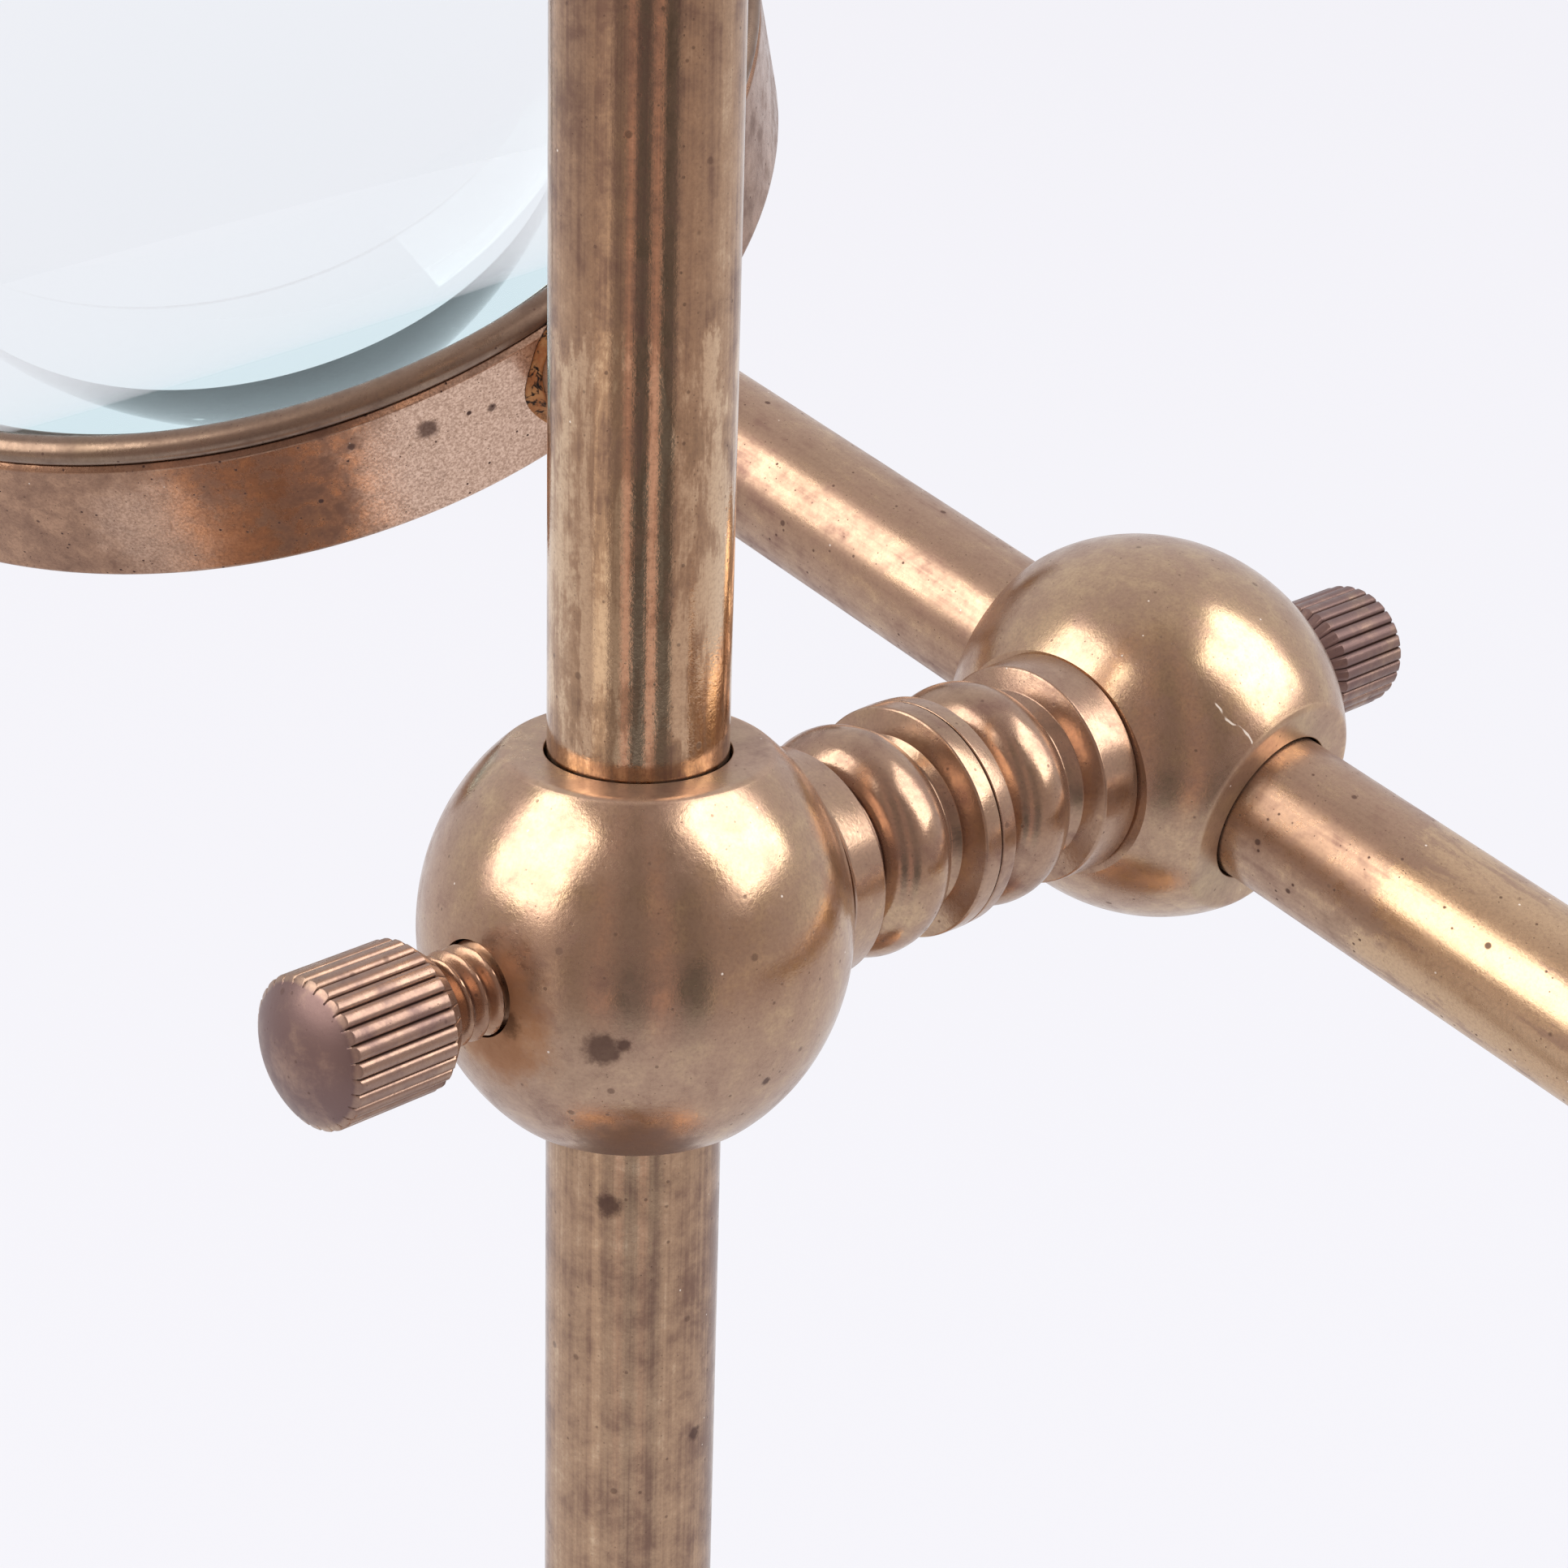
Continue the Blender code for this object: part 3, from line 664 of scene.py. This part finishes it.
def make_thumbscrew(prefix, thread_finish, knob_finish):
    place = PLACES[prefix + "_screw"]
    low, high = 8.35, 17.2  # of the thread
    stud_end = 20.1  # inside the knob
    steps, slices = 48, 14  # round the thread, and to each turn of it
    per_flute = 14  # steps round one flute
    root, crest = THREAD
    rings = [[(0, 0, low)], circle(root - 0.3, low, steps)]
    turns = (high - low) / PITCH
    for i in range(round(turns * slices) + 1):
        z = low + i * PITCH / slices
        ring = []
        for k in range(steps):
            angle = math.tau * k / steps
            phase = (z / PITCH - k / steps) % 1.0
            tooth = 0.5 - 0.5 * math.cos(math.tau * phase)
            lead_in = min(1.0, (z - low) / 1.2)
            radius = root + (crest - root) * tooth * lead_in
            ring.append((radius * math.cos(angle), radius * math.sin(angle), z))
        rings.append(ring)
    rings += [circle(2.0, high + 0.1, steps), circle(2.0, stud_end, steps), [(0, 0, stud_end)]]
    thread = skin(prefix + "_screw_fine", rings, place)
    show(thread, prefix + "_thumbscrew", prefix + "_screw", "satin_brass", thread_finish)

    around = FLUTES * per_flute
    crown = 1.5  # rise of the knob's end
    curve = (KNOB_RADIUS ** 2 + crown ** 2) / (2 * crown)
    edge = math.degrees(math.asin(KNOB_RADIUS / curve))
    outline = eased([
        *arc((0, KNOB_RIM + crown - curve), (curve, curve), 90, 90 - edge, 16)[:-1],
        (KNOB_RADIUS, KNOB_RIM, 0.22),
        *[(KNOB_RADIUS, z) for z in np.linspace(KNOB_RIM - 0.5, KNOB_START + 1.3, 10)],
        (KNOB_RADIUS, KNOB_START + 1.1, 0.1),
        (3.3, KNOB_START, 0.12),
        (2.75, KNOB_START, 0.1),
        (2.75, 20.4),
        (0, 20.4),
    ])
    rings = []
    for r, z in outline:
        if r == 0:
            rings.append([(0, 0, z)])
            continue
        ring = []
        for k in range(around):
            t = abs(2 * (k / per_flute % 1.0) - 1)
            ridge = math.sqrt(max(0.0, 1 - t ** 2.6))
            fluted = KNOB_RADIUS - FLUTE_DEPTH * (1 - ridge)
            angle = math.tau * k / around
            radius = min(r, fluted)
            ring.append((radius * math.cos(angle), radius * math.sin(angle), z))
        rings.append(ring)
    knob = skin(prefix + "_knob_fine", rings, place)
    show(knob, prefix + "_thumbscrew", prefix + "_knob", "tarnished_brass", knob_finish)


def make_arm():
    place = PLACES["arm_clamp"]
    lens = place.inverted() @ LENS_CENTRE / MM
    across = (place.inverted().to_3x3() @ LENS_AXIS).normalized()
    sideways = across.cross(Vector((0, 0, 1))).normalized()

    def band_height(reach, angle):
        """How far along the arm the band's surface lies, at that reach from the arm's centre line."""
        return lens.z + math.sqrt(BAND_RADIUS ** 2 - (reach * math.sin(angle)) ** 2) + 0.02

    def outward(angle):
        return across * math.cos(angle) + sideways * math.sin(angle)

    def around(reach, heights):
        angles = [math.tau * k / ROUND_ROD for k in range(ROUND_ROD)]
        return [outward(angle) * reach + Vector((0, 0, heights(angle))) for angle in angles]

    end = max((place.inverted() @ corner).z for corner in corners_of("arm_rod")) / MM - PEG_LENGTH
    start = lens.z + BAND_RADIUS
    rings = [[(0, 0, start + 0.02)]]
    rings.append(around(ROD_RADIUS - 0.02, lambda a: band_height(ROD_RADIUS, a)))
    rings.append(around(ROD_RADIUS, lambda a: band_height(ROD_RADIUS, a) + 0.05))
    for z in np.linspace(start + 1.0, end - 0.3, 26):
        rings.append(around(ROD_RADIUS, lambda a, z=z: z))
    rings += [around(ROD_RADIUS - 0.3, lambda a: end), around(PEG_RADIUS, lambda a: end),
              around(PEG_RADIUS, lambda a: end + PEG_LENGTH), [(0, 0, end + PEG_LENGTH)]]
    finish = aged_brass("brass_arm", light=(0.7, 0.49, 0.31), shade=0.54, streaks=0.35, turning=0.1,
                        rough=0.29, specks=0.8, worn=(22, 200))
    rod = skin("arm_rod_fine", rings, place)
    even_normals(rod)
    show(rod, "arm", "arm_rod", "satin_brass", finish)

    fillet = []
    for k in range(ROUND_ROD):
        angle = math.tau * k / ROUND_ROD
        size = 0.85 + 0.18 * math.sin(3 * angle + 1) + 0.1 * math.sin(7 * angle)
        foot = ROD_RADIUS + size
        section = [(ROD_RADIUS + 0.02, band_height(ROD_RADIUS, angle) + size)]
        for i in range(1, 9):
            turn = math.radians(90 * i / 9)
            reach = foot - size * math.cos(turn)
            section.append((reach, band_height(reach, angle) + size * (1 - math.sin(turn))))
        section.append((foot, band_height(foot, angle) + 0.02))
        section.append((ROD_RADIUS + 0.02, band_height(ROD_RADIUS, angle) + 0.02))
        fillet.append([outward(angle) * reach + Vector((0, 0, z)) for reach, z in section])
    bead = skin("arm_braze", fillet, place, loop=True)
    show(bead, "arm", None, "satin_brass", braze())

    finial = lathe("arm_finial_fine", finial_outline(end + FINIAL_GAP, 6.8, 6.2), place)
    show(finial, "arm", "arm_finial", "satin_brass", aged_brass("brass_arm_finial", turning=0.5))


def make_lens():
    place = PLACES["lens"]
    wall = BAND_RADIUS - 1.1
    front = BAND_HALF - 1.6
    band = eased([
        (wall, front),
        (BAND_RADIUS - 0.35, front, 0.05),
        (BAND_RADIUS, front - 0.35, 0.3),
        (BAND_RADIUS, -BAND_HALF, 0.5),
        (BAND_RADIUS - 2.5, -BAND_HALF, 0.3),
        (BAND_RADIUS - 2.5, -2.7, 0.15),
        (wall, -2.7),
    ])
    copper = {"light": (0.5, 0.3, 0.195), "middle": (0.36, 0.21, 0.14), "dark": (0.2, 0.11, 0.075)}
    blots = (((-13.6, -41.5, 1.7), 1.15, UMBER), ((-8.7, -42.8, 0.9), 0.45, UMBER),
             ((-18.8, -39.4, 2.8), 0.4, UMBER))
    # Patches with less patina and a lighter colour on the band: partly worn brass, partly painted light from
    # the right softbox.
    bare_and_painted_light = (((-31.0, -30.8, -1.5), 6.5, 0.4), ((-10.6, -42.4, -0.5), 12.8, 1.0))
    ring = lathe("lens_ring_fine", band, place, steps=ROUND_LENS, loop=True)
    show(ring, "arm", "lens_ring", "tarnished_brass",
         aged_brass("brass_band", shade=0.5, patchy=1.6, turning=0.25, rough=0.25, specks=1.0, stains=blots,
                    bare_and_painted_light=bare_and_painted_light, **copper),
         blackened())
    for face in ring.data.polygons:
        middle = face.center / MM
        if math.hypot(middle.x, middle.y) < wall + 0.1:
            face.material_index = 1
    bezel = eased([
        *arc((BAND_RADIUS - 1.05, front + 0.95), (1.15, 0.95), 145, -55, 20),
        (BAND_RADIUS - 0.5, front + 0.06, 0.05),
        (wall - 0.3, front + 0.06),
        (wall - 0.3, 2.7),
        (BAND_RADIUS - 2.3, 2.7, 0.1),
        (BAND_RADIUS - 2.3, front + 1.2, 0.3),
    ])
    lip = lathe("lens_bezel_fine", bezel, place, steps=ROUND_LENS, loop=True)
    show(lip, "arm", "lens_bezel", "tarnished_brass",
         aged_brass("brass_bezel", shade=0.72, turning=0.4, rough=0.27, specks=0.8, light=(0.46, 0.34, 0.24),
                    middle=(0.3, 0.21, 0.155), dark=(0.17, 0.11, 0.08)))

    edge, half, sag = wall - 0.3, 2.4, 4.2  # radius, half thickness at the edge, rise of each face
    curve = (edge * edge + sag * sag) / (2 * sag)
    rise = math.degrees(math.asin(edge / curve))
    top = half + sag
    outline = [
        *arc((0, top - curve), (curve, curve), 90, 90 - rise, 72),
        *arc((0, curve - top), (curve, curve), -90 + rise, -90, 72),
    ]
    poles = (0, len(outline) - 1)
    lens = skin("lens_fine", [circle(0 if i in poles else r, z, ROUND_LENS)
                              for i, (r, z) in enumerate(outline)], place)
    show(lens, "arm", "lens", "glass", polished_glass(), ground_glass())
    for face in lens.data.polygons:
        middle = face.center / MM
        if abs(middle.z) < half and math.hypot(middle.x, middle.y) > edge * 0.99 and abs(face.normal.z) < 0.5:
            face.material_index = 1


def finish_packed_nodes():
    """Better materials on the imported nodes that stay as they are."""
    inner = aged_brass("brass_inner", shade=0.7, turning=0.8, rough=0.35)
    plain = steel()
    iron = cast_iron()
    chosen = {
        "post_sleeve": inner, "arm_sleeve": inner, "post_pad": inner, "arm_pad": inner,
        "post_retaining_ring": inner, "arm_retaining_ring": inner, "base_washer": plain,
        "base_nut": plain, "swivel_screw": plain, "swivel_washer": plain, "base_weight": iron,
    }
    for node, finish in chosen.items():
        mesh = frame["nodes"][node].data
        mesh.materials.clear()
        mesh.materials.append(finish)


# ---------------------------------------------------------------- studio

PAPER = (0.922, 0.914, 0.965)
# GUIDED is a painted teal: the floor and world show it, in place of the pale room, to light guided inside the
# lens's edge.
GUIDED = (0.22, 0.36, 0.39)  # what light meets that was guided inside the lens's edge
GUIDED_DEPTH = 8.5  # bounces after which light counts as guided
CAMERA_OFFSET = Vector((0.12022, -0.11741, 0.07674))  # from the post's ball
CAMERA_AHEAD = Vector((-0.63153, 0.67840, -0.37543))
CAMERA_UP = Vector((-0.27835, 0.25356, 0.92641))
LENS_LENGTH = 76.0
STAND_STRIPS = (  # from and to in degrees, anticlockwise from above, and the colour
    (-58, -40, (0.74, 0.63, 0.55)),
    (-38, -23, (0.25, 0.19, 0.16)),
    (-22, -12, (0.5, 0.31, 0.26)),
    (-11, 7, (0.04, 0.032, 0.03)),
    (8, 19, (0.5, 0.31, 0.26)),
    (20, 38, (0.05, 0.04, 0.036)),
)
STRIP_EDGE = 0.03  # softness of a strip's edge, in radians


def surroundings(f, direction, plainly=1.0):
    """The room that the brass mirrors: pale behind the object, brown and dim on the camera's side.

    The legs of a stand show there: two strips of warmer, lighter wood with dark gaps beside them.
    plainly is how strongly they show.
    """
    level = Vector((CAMERA_OFFSET.x, CAMERA_OFFSET.y, 0)).normalized()
    beside = Vector((0, 0, 1)).cross(level)
    ahead = f.vector("DOT_PRODUCT", direction, tuple(level))
    turn = f.math("ARCTAN2", f.vector("DOT_PRODUCT", direction, tuple(beside)), ahead)
    colour = f.mix(f.ramp(ahead, -1.0, 0.75), tuple(0.8 * c for c in PAPER), (0.42, 0.33, 0.3))
    for low, high, shade in STAND_STRIPS:
        low, high = math.radians(low), math.radians(high)
        inside = f.math("MULTIPLY", f.ramp(turn, low - STRIP_EDGE, low + STRIP_EDGE),
                        f.ramp(turn, high + STRIP_EDGE, high - STRIP_EDGE))
        colour = f.mix(f.math("MULTIPLY", inside, plainly), colour, shade)
    return colour


def make_floor():
    """A plain pale table that runs on past the edge of every view. It glows evenly where it is seen directly.
    In reflections it glows as a painted reflection: dimmer near the object, and the painted room of
    surroundings further out. To light guided inside the lens's edge it shows a painted teal.
    """
    shape = bmesh.new()
    bmesh.ops.create_circle(shape, cap_ends=True, segments=96, radius=6.0)
    mesh = bpy.data.meshes.new("floor")
    shape.to_mesh(mesh)
    shape.free()
    floor = bpy.data.objects.new("floor", mesh)
    bpy.context.scene.collection.objects.link(floor)
    f = Finish("paper")
    far = f.ramp(f.vector("LENGTH", f.mm), 120, 620)
    # Painted reflection: the colour the brass mirrors in the floor, dimmer near the object and the painted
    # room further out.
    painted_reflection = f.mix(far, tuple(0.72 * c for c in PAPER), surroundings(f, f.vector("NORMALIZE", f.mm)))
    seen = f.mix(f.guided(), tuple(0.905 * c for c in PAPER), GUIDED)
    glow = f.add("Emission", {"Color": f.mix(f.mirrored(), seen, painted_reflection)})
    matt = f.add("BsdfDiffuse", {"Color": (0.06, 0.06, 0.06, 1)})
    both = f.add("AddShader", {0: glow.outputs[0], 1: matt.outputs[0]})
    f.tree.links.new(both.outputs[0], f.output.inputs["Surface"])
    mesh.materials.append(f.material)


def make_softbox(name, direction, distance, width, height, radiance):
    lamp = bpy.data.lights.new(name, "AREA")
    lamp.shape = "RECTANGLE"
    lamp.size = width
    lamp.size_y = height
    lamp.energy = radiance * math.pi * width * height
    lamp.color = (1.0, 0.975, 0.92)
    obj = bpy.data.objects.new(name, lamp)
    bpy.context.scene.collection.objects.link(obj)
    aim = Vector(direction).normalized()
    obj.matrix_world = placement(POST_BALL + aim * distance, aim, UP)
    obj.visible_camera = False


def make_world():
    """A room that lights the scene pale all round and looks pale where it is seen directly. In reflections it
    shows the painted room of surroundings, and to light guided inside the lens's edge a painted teal.
    """
    world = bpy.data.worlds.new("studio")
    bpy.context.scene.world = world
    world.use_nodes = True
    f = Nodes(world.node_tree, "OutputWorld")
    room = surroundings(f, f.add("TexCoord").outputs["Generated"], 0.45)
    seen = f.mix(f.guided(), tuple(0.99 * c for c in PAPER), GUIDED)
    background = f.add("Background", {"Color": f.mix(f.mirrored(), seen, room)})
    f.tree.links.new(background.outputs[0], f.output.inputs["Surface"])


def make_camera():
    data = bpy.data.cameras.new("camera")
    data.sensor_width = 36.0
    data.lens = LENS_LENGTH
    data.clip_start = 0.01
    data.clip_end = 50.0
    camera = bpy.data.objects.new("camera", data)
    bpy.context.scene.collection.objects.link(camera)
    camera.matrix_world = placement(POST_BALL + CAMERA_OFFSET, -CAMERA_AHEAD, CAMERA_UP)
    bpy.context.scene.camera = camera


def make_studio():
    make_world()
    make_floor()
    make_softbox("softbox_left", (-0.333, -0.737, 0.588), 1.2, 1.05, 1.05, 3.1)
    make_softbox("softbox_right", (0.588, 0.455, 0.669), 1.2, 0.95, 1.05, 3.4)
    make_camera()
    scene = bpy.context.scene
    scene.view_settings.view_transform = "Standard"
    # Light that the lens guides to its far edge turns many times inside the glass
    scene.cycles.max_bounces = 20
    scene.cycles.glossy_bounces = 16
    scene.cycles.transmission_bounces = 16


# ---------------------------------------------------------------- all of it

def main():
    # Orange-brown round each ball's thumbscrew hole, near black at its very edge.
    hole = (((1.2, -12.0, -1.2), 4.9, ORANGE_BROWN), ((2.35, -12.0, -1.1), 1.2, (0.12, 0.05, 0.02)))
    # The last of the post ball's stains is painted shade: a dark brown patch low on the camera's side of the
    # ball, in place of the post's dull dark reflection there.
    ball_stains_and_painted_shade = (*hole, ((7.4, -9.6, -1.8), 1.3, UMBER), ((8.3, -8.9, -1.4), 0.55, UMBER),
                   ((11.2, -1.0, -5.2), 0.36, UMBER), ((6.1, -5.9, -9.7), 4.4, (0.2, 0.13, 0.105)))
    make_base()
    make_post()
    make_ball("post", aged_brass("brass_post_ball", shade=0.5, stains=ball_stains_and_painted_shade, flats=(BALL_FLAT, 0.12)))
    make_ball("arm", aged_brass("brass_arm_ball", shade=0.42, rough=0.23, stains=hole, flats=(BALL_FLAT, 0.0),
                                scratch=((7.9, 6.0, 7.7), (6.0, 4.8, 10.3))))
    neck = aged_brass("brass_necks", shade=0.62, turning=0.5, rough=0.19)
    tapped = [(0, 14.2), (CONNECTOR_BORE, 14.2), (CONNECTOR_BORE, SPLIT)]
    soft_root = [(7.1, 10.4, 0.6), (7.5, SEAT + 0.02), (SPIGOT_RADIUS, SEAT + 0.02)]
    make_neck("post", tapped, [(SPIGOT_RADIUS, SPIGOT), (0, SPIGOT)], soft_root, neck)
    through = [(CONNECTOR_BORE, 12.0), (CONNECTOR_BORE, SPLIT)]
    crisp_root = [(7.12, 10.1, 0.1), (6.95, SEAT + 0.06), (SPIGOT_RADIUS, SEAT + 0.06)]
    make_neck("arm", through, [(SPIGOT_RADIUS, SPIGOT), (HEAD_BORE, SPIGOT), (HEAD_BORE, 12.0)],
              crisp_root, neck)
    # The thread is orange-brown where it enters the ball.
    thread = aged_brass("brass_threads", light=(0.6, 0.42, 0.28), middle=(0.44, 0.27, 0.18), shade=0.45,
                        turning=0.0, rough=0.26, stains=(((0, 0, 11.5), 2.9, ORANGE_BROWN),))
    for prefix, tone in (("post", 0.6), ("arm", 1.05)):
        knob = aged_brass(f"brass_{prefix}_knob", shade=tone, rough=0.28, metal=0.88, turning=0.2,
                          flats=(KNOB_RIM + 0.5, 0.6), light=(0.56, 0.4, 0.29), middle=(0.4, 0.265, 0.2),
                          dark=(0.2, 0.125, 0.115))
        make_thumbscrew(prefix, thread, knob)
    make_arm()
    make_lens()
    finish_packed_nodes()
    make_studio()


main()
